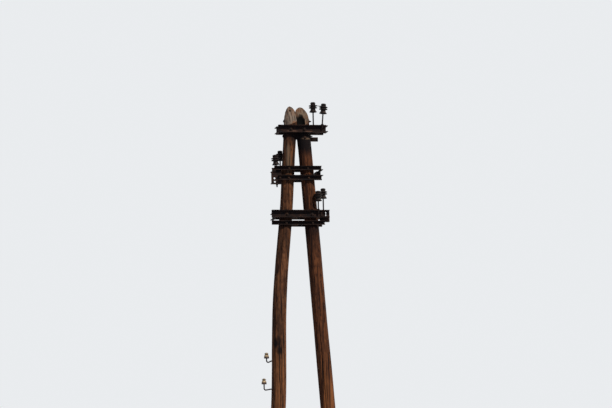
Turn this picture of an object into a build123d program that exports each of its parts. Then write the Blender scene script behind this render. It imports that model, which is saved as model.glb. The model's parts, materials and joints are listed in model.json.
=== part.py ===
from build123d import *
import math
import os

# A wooden A-pole: two round timber legs that lean together at the top, in millimetres.
# The origin is the centre of the left leg's foot. +X runs to the other foot, +Y away
# from the front and +Z up. Depths are below the pole's top.

os.makedirs("parts", exist_ok=True)

# Legs: at the top each centre stands this far from the pole's middle
pole_height = 11214
right_leg_step = 8
foot_spread = 1634
left_top_offset = 92.4
right_top_offset = 78
left_foot_radius = 150
left_top_radius = 101
right_foot_radius = 134
right_top_radius = 110
top_cut_drop = 320
left_bow = 46
left_bow_depth = 3164
left_bow_reach = 1750
bearing_plane = -4

# Rolled channels: height, flange width, web and flange thickness
channel_65 = (65, 42, 5.5, 7.5)
channel_80 = (80, 45, 6, 8)
channel_100 = (100, 50, 6, 8.5)
channel_120 = (120, 55, 7, 9)
channel_180 = (180, 70, 8, 11)
channel_200 = (200, 75, 8.5, 11.5)
channel_root_radius = 4

# The arms bear on flat seats cut this far in front of and behind the legs' centres.
seat_face = 100
seat_margin = 3

# Arm levels: depths of the three upper arms, and drops from those to what hangs on them
top_arm_depth = 402
middle_arm_depth = 1042
middle_lower_drop = 158
bottom_arm_depth = 1789
bottom_lower_drop = 145

# Where the arms end on either side of the pole's middle
top_arm_left = 328
top_arm_right = 458
top_back_arm_left = 318
middle_arm_left = 406
middle_arm_right = 368
middle_lower_left = 345
middle_back_right = 250
bottom_arm_left = 466
bottom_arm_right = 480
bottom_lower_right = 402
bottom_back_left = 420
bottom_back_right = 458
bottom_lower_back_left = 300

# Short channels between the front and back arms: web from the pole's middle, drop from the arm
top_left_spacer = 300
top_right_spacer = 447
top_spacer_offset = 10
middle_outer_spacer = 350
middle_outer_drop = 68
middle_inner_spacer = 286
middle_inner_drop = 92
bottom_left_spacer = 402
bottom_spacer_drop = 32

# Brackets behind the ends of the front arms, and the open holes near their outer ends
middle_bracket_end = 457
bottom_bracket_end = 485
bottom_bracket_drop = 36
bracket_clearance = 6
bracket_hole_radius = 15
middle_bracket_holes = ((-405, 11), (-398, 68))
bottom_bracket_holes = ((418, -19), (418, 20))
bracket_bolt_inset = 25
bracket_bolt_spacing = 39

# Bolts
bolt_radius = 10
bolt_hole_radius = 10.5
bolt_washer = 60
bracket_washer = 38
bolt_washer_thickness = 6
bolt_head_across = 30
bolt_head_height = 13
bolt_thread_length = 22
hex_corner_share = 1 / math.cos(math.radians(30))

# Insulator pins
pin_radius = 11
pin_hole_radius = 11.5
pin_collar_radius = 22
pin_collar_height = 16
pin_nut_across = 30
pin_nut_height = 19
pin_thread_length = 30
pin_grip = 88
pin_clearance = 0.3
pin_from_seat = 36
pin_from_seat_65 = 27
pin_in_bracket = 42
pin_lean = math.radians(5)

# Pin insulators; drops are below the insulator's top
insulator_height = 166
insulator_head_radius = 43
insulator_crown_radius = 17
insulator_crown_width = 16
insulator_crown_drop = 13
insulator_neck_radius = 35
insulator_neck_drops = (26, 36, 46)
insulator_shed_radius = 68
insulator_shed_drops = (56, 88)
insulator_shed_slope = 10
insulator_shed_rim = 5
insulator_body_radius = 46
insulator_skirt_radius = 62
insulator_skirt_wall = 11
insulator_cavity = 46
insulator_waist = 34
insulator_lip = 5
insulator_petticoat_wall = 13
insulator_petticoat_foot = 14
insulator_clearance = 2

# Small insulators on hooks; drops are below the insulator's top
reel_height = 92
reel_radius = 42
reel_head_radius = 27
reel_crown_drop = 5
reel_neck_radius = 20
reel_neck_drops = (16, 27, 38)
reel_waist = 34
reel_lip = 4
reel_wall = 12
reel_cavity = 30
reel_bore_wall = 9
reel_bore_foot = 10
hook_radius = 10
hook_hole_depth = 90
hook_grip = 48
hook_gap = 0.3
hook_stem = 8
hook_bends = (14, 26)
upper_hook_depth = 4158
upper_hook_reach = 84
upper_hook_drop = 34
upper_hook_rise = 42
hook_spacing = 452
lower_hook_reach = 117
lower_hook_drop = 18
lower_hook_rise = 80

# Block, tie bolts and the small bracket between and beside the legs
block_drop = 107
block_length = 90
block_depth = 130
timber_gap = 0.3
joint_bolt_depth = 264
spot_face_depth = 9
spot_face_margin = 2
stub_drop = 137
stub_start = 60
stub_end = 365
strut_share = 0.312
strut_radius = 80
strut_rod_radius = 12
strut_hole_radius = 13

pole_middle = foot_spread / 2
top_arm_height = pole_height - top_arm_depth
middle_arm_height = pole_height - middle_arm_depth
middle_lower_height = middle_arm_height - middle_lower_drop
bottom_arm_height = pole_height - bottom_arm_depth
bottom_lower_height = bottom_arm_height - bottom_lower_drop
bottom_bracket_height = bottom_arm_height - bottom_bracket_drop
block_height = top_arm_height - block_drop
joint_bolt_height = pole_height - joint_bolt_depth
stub_height = top_arm_height - stub_drop
strut_height = pole_height * strut_share
upper_hook_height = pole_height - upper_hook_depth
lower_hook_height = upper_hook_height - hook_spacing


# Where a leg's centre line stands at a height; side is -1 for the left leg, 1 for the right
def leg_x(side, height):
    share = height / pole_height
    top_offset = left_top_offset if side < 0 else right_top_offset
    centre = pole_middle + side * (pole_middle * (1 - share) + top_offset * share)
    from_bow = abs(pole_height - height - left_bow_depth)
    if side < 0 and from_bow < left_bow_reach:
        centre -= left_bow * math.cos(math.pi / 2 * from_bow / left_bow_reach) ** 2
    return centre


def leg_radius(side, height):
    share = height / pole_height
    if side < 0:
        return left_foot_radius * (1 - share) + left_top_radius * share
    return right_foot_radius * (1 - share) + right_top_radius * share


# Every arm: channel, level, face (-1 front, 1 back), left and right end, legs that bolt it
both_legs = (-1, 1)
arms = {
    "top_arm_front": (channel_120, top_arm_height, -1, -top_arm_left, top_arm_right, both_legs),
    "top_arm_back": (channel_120, top_arm_height, 1, -top_back_arm_left, top_arm_right, both_legs),
    "middle_upper_front": (
        channel_65, middle_arm_height, -1, -middle_arm_left, middle_arm_right, both_legs
    ),
    "middle_upper_back": (
        channel_65, middle_arm_height, 1, -middle_arm_left, middle_back_right, both_legs
    ),
    "middle_lower_front": (
        channel_80, middle_lower_height, -1, -middle_lower_left, middle_arm_right, both_legs
    ),
    "middle_lower_back": (
        channel_80, middle_lower_height, 1, -middle_lower_left, middle_back_right, both_legs
    ),
    "bottom_upper_front": (
        channel_120, bottom_arm_height, -1, -bottom_arm_left, bottom_arm_right, both_legs
    ),
    "bottom_upper_back": (
        channel_120, bottom_arm_height, 1, -bottom_back_left, bottom_back_right, both_legs
    ),
    "bottom_lower_front": (
        channel_65, bottom_lower_height, -1, -bottom_arm_left, bottom_lower_right, both_legs
    ),
    "bottom_lower_back": (
        channel_65, bottom_lower_height, 1, -bottom_lower_back_left, bottom_lower_right, both_legs
    ),
    "stub_arm": (channel_65, stub_height, 1, stub_start, stub_end, (1,)),
}


# The x of an insulator that stands as near a leg as its sheds allow
def beside_leg(side, insulator_foot, y):
    shed_height = insulator_foot + insulator_height - insulator_shed_drops[0]
    reach = leg_radius(side, shed_height) + insulator_shed_radius + insulator_clearance
    return leg_x(side, shed_height) - pole_middle + side * math.sqrt(reach**2 - y**2)


# Every pin: x from the pole's middle, y, the flange's top, the underside that the nut bears
# on, the insulator's rise above the flange and how far the pin leans to the right
top_flange = top_arm_height + channel_120[0] / 2
middle_flange = middle_arm_height + channel_65[0] / 2
bottom_flange = bottom_arm_height + channel_120[0] / 2
bracket_flange = middle_lower_height + channel_200[0] / 2
front_pin_y = -seat_face - pin_from_seat
back_pin_y = seat_face + pin_from_seat
middle_back_pin_y = seat_face + pin_from_seat_65
middle_back_rise = 118
bottom_front_rise = 145
pins = {
    "top_pin_front": (395, front_pin_y, top_flange, channel_120[3], 188, pin_lean),
    "top_pin_back": (302, back_pin_y, top_flange, channel_120[3], 253, 0),
    "middle_pin_front": (
        -358, pin_in_bracket - seat_face, bracket_flange, channel_200[0], 116, -pin_lean
    ),
    "middle_pin_back": (
        beside_leg(-1, middle_flange + middle_back_rise, middle_back_pin_y),
        middle_back_pin_y,
        middle_flange,
        channel_65[3],
        middle_back_rise,
        0,
    ),
    "bottom_pin_front": (
        beside_leg(1, bottom_flange + bottom_front_rise, front_pin_y),
        front_pin_y,
        bottom_flange,
        channel_120[3],
        bottom_front_rise,
        0,
    ),
    "bottom_pin_back": (435, back_pin_y, bottom_flange, channel_120[3], 225, 0),
}


def save(solid, name):
    solid.label = name
    export_step(solid, f"parts/{name}.step")


# A channel along the plane's normal: its web's back is on the plane's local Y axis and its
# flanges point to the side that direction gives
def channel(plane, section, direction, length):
    height, flange, web, thickness = section
    with BuildPart() as piece:
        with BuildSketch(plane) as profile:
            with Locations((direction * flange / 2, 0)):
                Rectangle(flange, height)
            with Locations((direction * (web + flange) / 2, 0)):
                Rectangle(flange - web, height - 2 * thickness, mode=Mode.SUBTRACT)
            roots = profile.vertices().filter_by(lambda corner: abs(abs(corner.X) - web) < 0.01)
            fillet(roots, channel_root_radius)
        extrude(amount=length)
    return piece.part


# The bolts that run along X: height and hole radius
cross_bolts = (
    (block_height, bolt_hole_radius),
    (joint_bolt_height, bolt_hole_radius),
    (strut_height, strut_hole_radius),
)


# Where the flat face for a cross bolt's washer stands, on the outer side of a leg
def washer_face(side, height):
    return leg_x(side, height) + side * (leg_radius(side, height) - spot_face_depth)


# Each leg: a tapered trunk, cut on a slant at the top, notched and drilled for the arms
def timber_leg(side):
    top = pole_height if side < 0 else pole_height - right_leg_step
    bow_middle = pole_height - left_bow_depth
    bow_heights = [bow_middle + left_bow_reach * step / 4 for step in range(-4, 5)]
    heights = [0, *bow_heights, top] if side < 0 else [0, top]
    with BuildPart() as leg:
        for height in heights:
            with BuildSketch(Plane.XY.offset(height)):
                with Locations((leg_x(side, height), 0)):
                    Circle(leg_radius(side, height))
        loft(ruled=True)

        # The slanted top that sheds rain to the front
        top_radius = leg_radius(side, top)
        slope = Vector(0, 2 * top_radius, top_cut_drop)
        up_front = Vector(0, -slope.Z, slope.Y)
        back_edge = (leg_x(side, top), top_radius, top)
        split(bisect_by=Plane(back_edge, x_dir=(1, 0, 0), z_dir=up_front), keep=Keep.BOTTOM)

        # The flat where the two legs bear on each other
        bearing_depth = 4 * top_radius
        with Locations((pole_middle + bearing_plane - side * top_radius / 2, 0, top)):
            Box(top_radius, bearing_depth, 2 * bearing_depth, mode=Mode.SUBTRACT)

        # Seats and bolt holes for the arms
        for section, level, face, start, end, bolted in arms.values():
            if side not in bolted:
                continue
            notch_depth = leg_radius(side, level)
            notch_y = face * (seat_face + notch_depth / 2)
            with Locations((leg_x(side, level), notch_y, level)):
                Box(3 * notch_depth, notch_depth, section[0] + 2 * seat_margin, mode=Mode.SUBTRACT)
            with Locations((leg_x(side, level), 0, level)):
                Cylinder(bolt_hole_radius, 4 * notch_depth, rotation=(90, 0, 0), mode=Mode.SUBTRACT)
        flat = bolt_washer + 2 * spot_face_margin
        if side > 0:
            with Locations((leg_x(side, stub_height), -seat_face - flat / 2, stub_height)):
                Box(flat, flat, flat, mode=Mode.SUBTRACT)

        # Holes along X for the joint bolts and the strut's rod, with flat faces for washers
        for height, hole in cross_bolts:
            with Locations((pole_middle, 0, height)):
                Cylinder(hole, 2 * foot_spread, rotation=(0, 90, 0), mode=Mode.SUBTRACT)
            with Locations((washer_face(side, height) + side * flat / 2, 0, height)):
                Box(flat, flat, flat, mode=Mode.SUBTRACT)
        if side < 0:
            for height in (upper_hook_height, lower_hook_height):
                hole_end = leg_x(side, height) - leg_radius(side, height) + hook_hole_depth
                with Locations((hole_end - foot_spread / 2, 0, height)):
                    hole = hook_radius + hook_gap
                    Cylinder(hole, foot_spread, rotation=(0, 90, 0), mode=Mode.SUBTRACT)
    return leg.part


save(timber_leg(-1), "left_leg")
save(timber_leg(1), "right_leg")


# An arm: a channel along X with its web's back on the seat, drilled for bolts and pins
def channel_arm(section, level, face, start, end, bolted):
    height, flange, web, thickness = section
    seat = Plane((pole_middle + start, face * seat_face, level), x_dir=(0, 1, 0), z_dir=(1, 0, 0))
    bar = channel(seat, section, face, end - start)
    with BuildPart() as arm:
        add(bar)
        for x, z, hole in web_holes(face, level, bolted):
            if start < x - pole_middle < end and abs(z - level) < height / 2:
                with Locations((x, face * seat_face, z)):
                    Cylinder(hole, 4 * web, rotation=(90, 0, 0), mode=Mode.SUBTRACT)
        for x, y, flange_top, nut_depth, rise, pin_angle in pins.values():
            on_this = abs(flange_top - level - height / 2) < 1 and face * y > seat_face
            if on_this and start < x < end:
                with Locations((pole_middle + x, y, flange_top)):
                    Cylinder(pin_hole_radius, 4 * thickness, mode=Mode.SUBTRACT)
    return arm.part


# Each bracket: channel, level, the arm level it is bolted to, its two ends and open holes
def bracket_values(side, section, level, arm_level, outer_end, holes):
    low = level - section[0] / 2
    leg_side = leg_x(side, low) - pole_middle + side * (leg_radius(side, low) + bracket_clearance)
    inner_end, outer_end = sorted((leg_side, side * outer_end))
    return section, level, arm_level, inner_end, outer_end, side, holes


brackets = {
    "middle_end_bracket": bracket_values(
        -1, channel_200, middle_lower_height, middle_lower_height, middle_bracket_end,
        middle_bracket_holes,
    ),
    "bottom_end_bracket": bracket_values(
        1, channel_180, bottom_bracket_height, bottom_arm_height, bottom_bracket_end,
        bottom_bracket_holes,
    ),
}


# Where a bracket's bolts go: one in a shallow arm and two in a deep one
def bracket_bolt_places(name):
    section, level, arm_level, start, end, side, holes = brackets[name]
    x = (start if side > 0 else end) + side * bracket_bolt_inset
    if arm_level == level:
        return [(pole_middle + x, arm_level)]
    return [(pole_middle + x, arm_level + turn * bracket_bolt_spacing / 2) for turn in (-1, 1)]


# Every hole through a web on one face at a level: x, z and radius
def web_holes(face, level, bolted):
    found = [(leg_x(side, level), level, bolt_hole_radius) for side in bolted]
    if face < 0:
        for name, values in brackets.items():
            found += [(x, z, bolt_hole_radius) for x, z in bracket_bolt_places(name)]
            for x, drop in values[-1]:
                found.append((pole_middle + x, values[2] - drop, bracket_hole_radius))
    return found


for arm_name, values in arms.items():
    save(channel_arm(*values), arm_name)


# A bracket: a short deep channel on the backs of the front arms, its flanges to the back
def end_bracket(name):
    section, level, arm_level, start, end, side, holes = brackets[name]
    height, flange, web, thickness = section
    back = Plane((pole_middle + start, -seat_face, level), x_dir=(0, 1, 0), z_dir=(1, 0, 0))
    bar = channel(back, section, 1, end - start)
    with BuildPart() as bracket:
        add(bar)
        for x, drop in holes:
            with Locations((pole_middle + x, -seat_face, arm_level - drop)):
                Cylinder(bracket_hole_radius, 4 * web, rotation=(90, 0, 0), mode=Mode.SUBTRACT)
        for x, z in bracket_bolt_places(name):
            with Locations((x, -seat_face, z)):
                Cylinder(bolt_hole_radius, 4 * web, rotation=(90, 0, 0), mode=Mode.SUBTRACT)
        for x, y, flange_top, nut_depth, rise, pin_angle in pins.values():
            if abs(y) < seat_face and start < x < end:
                with Locations((pole_middle + x, y, level)):
                    Cylinder(pin_hole_radius, 2 * height, mode=Mode.SUBTRACT)
    return bracket.part


for bracket_name in brackets:
    save(end_bracket(bracket_name), bracket_name)


# A short channel between the front and back arms; out is the side its flanges point to
spacers = {
    "top_spacer_left": (channel_100, -top_left_spacer, top_arm_height - top_spacer_offset, -1),
    "top_spacer_right": (channel_100, top_right_spacer, top_arm_height + top_spacer_offset, 1),
    "middle_spacer_outer": (
        channel_100, middle_outer_spacer, middle_arm_height - middle_outer_drop, 1
    ),
    "middle_spacer_inner": (
        channel_80, middle_inner_spacer, middle_arm_height - middle_inner_drop, 1
    ),
    "bottom_spacer_left": (
        channel_100, -bottom_left_spacer, bottom_arm_height - bottom_spacer_drop, -1
    ),
}
for spacer_name, (section, web_x, level, out) in spacers.items():
    web_back = Plane((pole_middle + web_x, -seat_face, level), x_dir=(1, 0, 0), z_dir=(0, 1, 0))
    save(channel(web_back, section, out, 2 * seat_face), spacer_name)


# A bolt along a line: plane at the head's seat with Z along the bolt, grip between washers
def through_bolt(seat, grip, radius, washer):
    with BuildPart() as bolt:
        start = -bolt_washer_thickness - bolt_head_height
        with BuildSketch(seat.offset(start)):
            Circle(radius)
        extrude(amount=grip + 2 * bolt_washer_thickness + 2 * bolt_head_height + bolt_thread_length)
        for outer in (-bolt_washer_thickness, grip):
            with BuildSketch(seat.offset(outer)):
                Rectangle(washer, washer)
            extrude(amount=bolt_washer_thickness)
        for outer in (start, grip + bolt_washer_thickness):
            with BuildSketch(seat.offset(outer)):
                RegularPolygon(bolt_head_across / 2 * hex_corner_share, 6)
            extrude(amount=bolt_head_height)
    return bolt.part


# The bolts of one level: front web to back web through each leg
def arm_bolts(levels):
    bolts = []
    for level, section in levels:
        height, flange, web, thickness = section
        washer = min(bolt_washer, height - 2 * (thickness + channel_root_radius))
        for side in both_legs:
            head = (leg_x(side, level), -seat_face - web, level)
            seat = Plane(head, x_dir=(1, 0, 0), z_dir=(0, 1, 0))
            bolts.append(through_bolt(seat, 2 * (seat_face + web), bolt_radius, washer))
    return bolts


# A bracket's bolts, through an arm's web and the bracket's own
def bracket_bolts(name, arm_section):
    arm_web, bracket_web = arm_section[2], brackets[name][0][2]
    bolts = []
    for x, z in bracket_bolt_places(name):
        seat = Plane((x, -seat_face - arm_web, z), x_dir=(1, 0, 0), z_dir=(0, 1, 0))
        bolts.append(through_bolt(seat, arm_web + bracket_web, bolt_radius, bracket_washer))
    return bolts


bolt_groups = {
    "top_arm_bolts": arm_bolts([(top_arm_height, channel_120)]),
    "middle_arm_bolts": arm_bolts(
        [(middle_arm_height, channel_65), (middle_lower_height, channel_80)]
    ),
    "bottom_arm_bolts": arm_bolts(
        [(bottom_arm_height, channel_120), (bottom_lower_height, channel_65)]
    ),
    "bottom_bracket_bolts": bracket_bolts("bottom_end_bracket", channel_120),
}
for group_name, bolts in bolt_groups.items():
    save(Compound(children=bolts), group_name)
save(bracket_bolts("middle_end_bracket", channel_80)[0], "middle_bracket_bolt")

stub_washer = channel_65[0] - 2 * (channel_65[3] + channel_root_radius)
stub_seat = Plane((leg_x(1, stub_height), -seat_face, stub_height), x_dir=(1, 0, 0), z_dir=(0, 1, 0))
save(through_bolt(stub_seat, 2 * seat_face + channel_65[2], bolt_radius, stub_washer), "stub_bolt")


# A bolt along X between the flat faces on the outer sides of the two legs
def cross_bolt(height, radius):
    start = washer_face(-1, height)
    seat = Plane((start, 0, height), x_dir=(0, 1, 0), z_dir=(1, 0, 0))
    return through_bolt(seat, washer_face(1, height) - start, radius, bolt_washer)


joint_bolts = [cross_bolt(height, bolt_radius) for height in (block_height, joint_bolt_height)]
save(Compound(children=joint_bolts), "leg_joint_bolts")
save(cross_bolt(strut_height, strut_rod_radius), "strut_rod")


# A plain length of one leg, a little oversize, to cut a timber's end to its round
def leg_length(side, middle, half):
    with BuildPart() as trunk:
        for height in (middle - half, middle + half):
            with BuildSketch(Plane.XY.offset(height)):
                with Locations((leg_x(side, height), 0)):
                    Circle(leg_radius(side, height) + timber_gap)
        loft()
    return trunk.part


block_trunks = [leg_length(side, block_height, block_length) for side in both_legs]
with BuildPart() as block:
    block_width = leg_x(1, block_height) - leg_x(-1, block_height)
    with Locations((pole_middle, 0, block_height)):
        Box(block_width, block_depth, block_length)
        Cylinder(bolt_hole_radius, foot_spread, rotation=(0, 90, 0), mode=Mode.SUBTRACT)
    add(block_trunks, mode=Mode.SUBTRACT)
save(block.part, "leg_joint_block")

strut_trunks = [leg_length(side, strut_height, 2 * strut_radius) for side in both_legs]
with BuildPart() as strut:
    strut_width = leg_x(1, strut_height) - leg_x(-1, strut_height)
    with Locations((pole_middle, 0, strut_height)):
        Cylinder(strut_radius, strut_width, rotation=(0, 90, 0))
        Cylinder(strut_hole_radius, foot_spread, rotation=(0, 90, 0), mode=Mode.SUBTRACT)
    add(strut_trunks, mode=Mode.SUBTRACT)
save(strut.part, "leg_strut")


# The plane in a pin's collar from which it leans: Z runs up the leaning rod
def pin_bend(x, y, flange_top, pin_angle):
    across = (math.cos(pin_angle), 0, -math.sin(pin_angle))
    along = (math.sin(pin_angle), 0, math.cos(pin_angle))
    return Plane((pole_middle + x, y, flange_top + pin_collar_height / 2), x_dir=across, z_dir=along)


# An insulator's steel pin: a rod with a collar on the flange and a nut under it
def insulator_pin(x, y, flange_top, nut_depth, rise, pin_angle):
    nut_top = flange_top - nut_depth
    bottom = nut_top - pin_nut_height - pin_thread_length
    bend = pin_bend(x, y, flange_top, pin_angle)
    with BuildPart() as pin:
        with BuildSketch(Plane.XY.offset(bottom)):
            with Locations((pole_middle + x, y)):
                Circle(pin_radius)
        extrude(amount=bend.origin.Z - bottom)
        with BuildSketch(bend):
            Circle(pin_radius)
        extrude(amount=rise + pin_grip - pin_collar_height / 2)
        with BuildSketch(Plane.XY.offset(flange_top)):
            with Locations((pole_middle + x, y)):
                Circle(pin_collar_radius)
        extrude(amount=pin_collar_height)
        with BuildSketch(Plane.XY.offset(nut_top - pin_nut_height)):
            with Locations((pole_middle + x, y)):
                RegularPolygon(pin_nut_across / 2 * hex_corner_share, 6)
        extrude(amount=pin_nut_height)
    return pin.part


# A pin insulator: grooved head, two sheds, a flared skirt and a hollow foot with an inner
# petticoat round the pin; the plane is at its foot with Z up its axis
def pin_insulator(foot):
    bore = pin_radius + pin_clearance
    petticoat = bore + insulator_petticoat_wall
    head, neck, shed = insulator_head_radius, insulator_neck_radius, insulator_shed_radius
    body, skirt, top = insulator_body_radius, insulator_skirt_radius, insulator_height
    crown, crown_foot = head - insulator_crown_width, top - insulator_crown_drop
    neck_top, neck_middle, neck_foot = [top - drop for drop in insulator_neck_drops]
    shed_starts = [(head, neck_foot)]
    shed_starts.append((body, top - insulator_shed_drops[1] + insulator_shed_slope))
    with BuildPart() as insulator:
        with BuildSketch(Plane(foot.origin, x_dir=foot.x_dir, z_dir=-foot.y_dir)):
            with BuildLine() as profile:
                Polyline((0, pin_grip), (0, top), (crown, top))
                RadiusArc((crown, top), (head, crown_foot), insulator_crown_radius)
                Line((head, crown_foot), (head, neck_top))
                ThreePointArc((head, neck_top), (neck, neck_middle), (head, neck_foot))
                for start, drop in zip(shed_starts, insulator_shed_drops):
                    rim = top - drop
                    Polyline(
                        start,
                        (shed, rim),
                        (shed, rim - insulator_shed_rim),
                        (body + insulator_lip, rim - insulator_shed_rim),
                        (body, rim - insulator_shed_slope),
                    )
                Line((body, top - insulator_shed_drops[0] - insulator_shed_slope), shed_starts[1])
                skirt_top = (body, top - insulator_shed_drops[1] - insulator_shed_slope)
                skirt_waist = (body + insulator_lip, insulator_waist)
                ThreePointArc(skirt_top, skirt_waist, (skirt, insulator_lip))
                Polyline(
                    (skirt, insulator_lip),
                    (skirt - insulator_lip, 0),
                    (skirt - insulator_skirt_wall, insulator_lip),
                    (body - insulator_skirt_wall, insulator_cavity),
                    (petticoat, insulator_cavity),
                    (petticoat, insulator_petticoat_foot),
                    (bore, insulator_petticoat_foot),
                    (bore, pin_grip),
                    (0, pin_grip),
                )
            make_face()
        revolve(axis=Axis(foot.origin, foot.z_dir))
    return insulator.part


for pin_name, (x, y, flange_top, nut_depth, rise, pin_angle) in pins.items():
    save(insulator_pin(x, y, flange_top, nut_depth, rise, pin_angle), pin_name)
    foot = pin_bend(x, y, flange_top, pin_angle).offset(rise - pin_collar_height / 2)
    save(pin_insulator(foot), pin_name.replace("pin", "insulator"))


# A hook of round bar: its straight stem is screwed into the left leg, then it bends up
def hook(height, reach, drop, rise):
    surface = leg_x(-1, height) - leg_radius(-1, height)
    inner_end = surface + hook_hole_depth
    axis = surface - reach
    with BuildPart() as bar:
        with BuildLine(Plane.XZ) as route:
            corners = (
                (inner_end, height),
                (surface - hook_stem, height),
                (axis, height - drop),
                (axis, height + rise + hook_grip),
            )
            FilletPolyline(*corners, radius=list(hook_bends))
        with BuildSketch(Plane((inner_end, 0, height), z_dir=(-1, 0, 0))):
            Circle(hook_radius)
        sweep(path=route.line)
    return bar.part, axis, height + rise


# A small insulator on a hook: rounded head, neck groove and a bell with a hollow foot
def reel(axis, foot):
    bore = hook_radius + hook_gap
    bore_wall = bore + reel_bore_wall
    top, head = reel_height, reel_head_radius
    neck_top, neck_middle, neck_foot = [top - drop for drop in reel_neck_drops]
    with BuildPart() as insulator:
        with BuildSketch(Plane((axis, 0, foot), x_dir=(1, 0, 0), z_dir=(0, -1, 0))):
            with BuildLine():
                Line((0, hook_grip), (0, top))
                ThreePointArc((0, top), (head * 0.7, top - reel_crown_drop), (head, neck_top))
                neck_edge = (head + reel_crown_drop, neck_foot)
                ThreePointArc((head, neck_top), (reel_neck_radius, neck_middle), neck_edge)
                bell = (reel_radius - reel_lip / 2, reel_waist)
                ThreePointArc(neck_edge, bell, (reel_radius, reel_lip))
                Polyline(
                    (reel_radius, reel_lip),
                    (reel_radius - reel_lip, 0),
                    (reel_radius - reel_wall, reel_lip),
                    (reel_radius - reel_wall, reel_cavity),
                    (bore_wall, reel_cavity),
                    (bore_wall, reel_bore_foot),
                    (bore, reel_bore_foot),
                    (bore, hook_grip),
                    (0, hook_grip),
                )
            make_face()
        revolve(axis=Axis((axis, 0, foot), (0, 0, 1)))
    return insulator.part


hooks = {
    "upper": (upper_hook_height, upper_hook_reach, upper_hook_drop, upper_hook_rise),
    "lower": (lower_hook_height, lower_hook_reach, lower_hook_drop, lower_hook_rise),
}
for place, values in hooks.items():
    bar, bar_axis, foot = hook(*values)
    save(bar, f"{place}_hook")
    save(reel(bar_axis, foot), f"{place}_hook_insulator")
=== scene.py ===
# %% [markdown]
# # A wooden A-pole with steel arms
# The pole is two round timbers that lean together, crossed near the top by rusty rolled
# channels that carry porcelain insulators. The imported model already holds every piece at
# its real size. This lesson loads it, aims a long lens at its top from far below, replaces
# the plain trunks and insulators by richer ones, and gives each piece the surface that
# years of weather left on it.

import json
import math

import bmesh
import bpy
from mathutils import Matrix, Vector, noise


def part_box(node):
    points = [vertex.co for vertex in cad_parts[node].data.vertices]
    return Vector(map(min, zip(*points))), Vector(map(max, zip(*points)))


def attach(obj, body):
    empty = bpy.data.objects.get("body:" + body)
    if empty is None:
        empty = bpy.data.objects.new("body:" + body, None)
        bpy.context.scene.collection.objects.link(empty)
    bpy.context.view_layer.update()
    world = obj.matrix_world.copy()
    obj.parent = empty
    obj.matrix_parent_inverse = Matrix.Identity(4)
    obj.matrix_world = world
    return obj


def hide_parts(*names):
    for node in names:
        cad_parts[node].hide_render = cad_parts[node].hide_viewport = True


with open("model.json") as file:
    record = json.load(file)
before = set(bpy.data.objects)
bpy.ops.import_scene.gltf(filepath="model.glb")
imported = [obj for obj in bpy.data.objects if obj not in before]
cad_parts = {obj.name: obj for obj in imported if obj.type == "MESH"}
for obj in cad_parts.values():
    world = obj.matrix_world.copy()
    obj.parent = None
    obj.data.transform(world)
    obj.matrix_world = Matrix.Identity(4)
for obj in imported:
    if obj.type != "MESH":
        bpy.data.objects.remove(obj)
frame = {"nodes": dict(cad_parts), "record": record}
nodes = frame["nodes"]
scene = bpy.context.scene
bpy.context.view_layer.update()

# %% [markdown]
# ## The camera
# The view is from the ground, about 58 m away, with a long lens tilted up at the top of the
# pole. A long lens is a small angle, so the focal length is worked out from how many pixels
# one metre takes at that distance. The camera also leans a little, which tips the whole pole
# to the left, and it stands to the left of the pole's front.

# %% Where the legs stand
left_low, left_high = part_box("left_leg")
right_low, right_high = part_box("right_leg")
left_foot_radius = -left_low.y
right_foot_radius = -right_low.y
foot_spread = right_high.x - right_foot_radius
pole_middle = foot_spread / 2
print("feet:", round(foot_spread, 3), "m apart")

# %% Place the camera
image_width = 612
focal_pixels = 3625
camera_distance = 58.0
eye_height = 1.6
camera_azimuth = math.radians(11.0)
camera_pitch = math.radians(7.85)
camera_roll = math.radians(1.37)
pole_pixel_x = 298.5

camera_data = bpy.data.cameras.new("camera")
camera_data.sensor_width = 36.0
camera_data.lens = focal_pixels / image_width * camera_data.sensor_width
camera_data.clip_end = 300.0
camera = bpy.data.objects.new("camera", camera_data)
scene.collection.objects.link(camera)
scene.camera = camera

aim = camera_azimuth + (image_width / 2 - pole_pixel_x) / focal_pixels
forward = Vector((
    math.sin(aim) * math.cos(camera_pitch),
    math.cos(aim) * math.cos(camera_pitch),
    math.sin(camera_pitch),
))
level_right = Vector((math.cos(aim), -math.sin(aim), 0.0))
level_up = level_right.cross(forward)
right = level_right * math.cos(camera_roll) - level_up * math.sin(camera_roll)
up = level_up * math.cos(camera_roll) + level_right * math.sin(camera_roll)
place = Vector((
    pole_middle - camera_distance * math.sin(camera_azimuth),
    -camera_distance * math.cos(camera_azimuth),
    eye_height,
))
turn = Matrix((right, up, -forward)).transposed().to_4x4()
camera.matrix_world = Matrix.Translation(place) @ turn
print("lens:", round(camera_data.lens, 1), "mm at", tuple(round(v, 2) for v in place))

# %% [markdown]
# ## Floor, sky and light
# A plain pale floor and a plain pale background keep the eye on the pole. The main light
# comes from the right and well above the horizon, like an afternoon sun through thin cloud:
# it warms the right sides and leaves the left edges dark. A weaker, broader light from the
# far right catches the right edges.

# %% Lay the floor
scene.view_settings.view_transform = "Standard"
floor_half_width = 12.0
floor_mesh = bpy.data.meshes.new("floor")
floor_shape = bmesh.new()
bmesh.ops.create_grid(floor_shape, x_segments=1, y_segments=1, size=floor_half_width)
floor_shape.to_mesh(floor_mesh)
floor_shape.free()
floor = bpy.data.objects.new("floor", floor_mesh)
scene.collection.objects.link(floor)
print("floor:", 2 * floor_half_width, "m across")

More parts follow.
